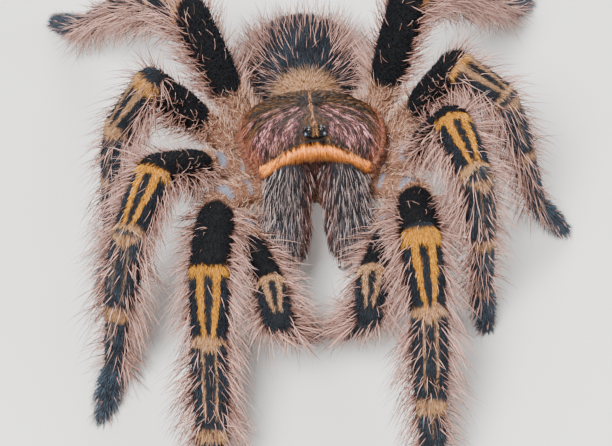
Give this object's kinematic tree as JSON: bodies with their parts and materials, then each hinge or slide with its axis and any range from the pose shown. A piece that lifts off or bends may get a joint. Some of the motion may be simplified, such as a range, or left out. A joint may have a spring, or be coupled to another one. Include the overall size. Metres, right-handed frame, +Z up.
{
  "type": "tarantula",
  "caption": "Life-size still tarantula with black velvet legs, golden knees, a brown carapace, large jaws and a dark hairy abdomen, standing with its front raised.",
  "frame": {"origin": "on the floor, under the middle of the animal's box", "axes": "+Z up; +Y from the jaws to the abdomen, so that the animal faces -Y; +X is the animal's own left"},
  "size_m": [0.0996, 0.1358, 0.0415],
  "materials": {
    "leg_black": "short black velvet hair with long pinkish bristles",
    "leg_striped": "black velvet hair with golden knee bands and stripes",
    "hip_tan": "tan and pinkish hair",
    "carapace_brown": "dark shell with flat radiating hairs, slightly metallic",
    "jaw_grey": "grey hair with pale flat bristles",
    "abdomen_black": "black velvet with long pale hairs",
    "fang_black": "polished black horn",
    "eye_gloss": "wet black lens"
  },
  "bodies": {
    "root": {"carapace": "carapace_brown", "eye_mound": "carapace_brown", "eye_front_middle_left": "eye_gloss", "eye_front_middle_right": "eye_gloss", "eye_front_side_left": "eye_gloss", "eye_front_side_right": "eye_gloss", "eye_rear_side_left": "eye_gloss", "eye_rear_side_right": "eye_gloss", "eye_rear_middle_left": "eye_gloss", "eye_rear_middle_right": "eye_gloss", "sternum": "hip_tan", "chelicera_left": "jaw_grey", "chelicera_right": "jaw_grey", "fang_left": "fang_black", "fang_right": "fang_black", "abdomen": "abdomen_black", "pedicel": "hip_tan", "spinneret_left": "abdomen_black", "spinneret_right": "abdomen_black", "leg_1_left_coxa": "hip_tan", "leg_1_left_femur": "leg_black", "leg_1_left_patella_tibia": "leg_striped", "leg_1_left_foot": "leg_black", "leg_1_right_coxa": "hip_tan", "leg_1_right_femur": "leg_black", "leg_1_right_patella_tibia": "leg_striped", "leg_1_right_foot": "leg_black", "leg_2_left_coxa": "hip_tan", "leg_2_left_femur": "leg_black", "leg_2_left_patella_tibia": "leg_striped", "leg_2_left_foot": "leg_black", "leg_2_right_coxa": "hip_tan", "leg_2_right_femur": "leg_black", "leg_2_right_patella_tibia": "leg_striped", "leg_2_right_foot": "leg_black", "leg_3_left_coxa": "hip_tan", "leg_3_left_femur": "leg_black", "leg_3_left_patella_tibia": "leg_striped", "leg_3_left_foot": "leg_black", "leg_3_right_coxa": "hip_tan", "leg_3_right_femur": "leg_black", "leg_3_right_patella_tibia": "leg_striped", "leg_3_right_foot": "leg_black", "leg_4_left_coxa": "hip_tan", "leg_4_left_femur": "leg_black", "leg_4_left_patella_tibia": "leg_striped", "leg_4_left_foot": "leg_black", "leg_4_right_coxa": "hip_tan", "leg_4_right_femur": "leg_black", "leg_4_right_patella_tibia": "leg_striped", "leg_4_right_foot": "leg_black", "palp_left_coxa": "hip_tan", "palp_left_femur": "leg_black", "palp_left_patella_tibia": "leg_striped", "palp_left_tarsus": "leg_black", "palp_right_coxa": "hip_tan", "palp_right_femur": "leg_black", "palp_right_patella_tibia": "leg_striped", "palp_right_tarsus": "leg_black"}
  },
  "joints": []
}
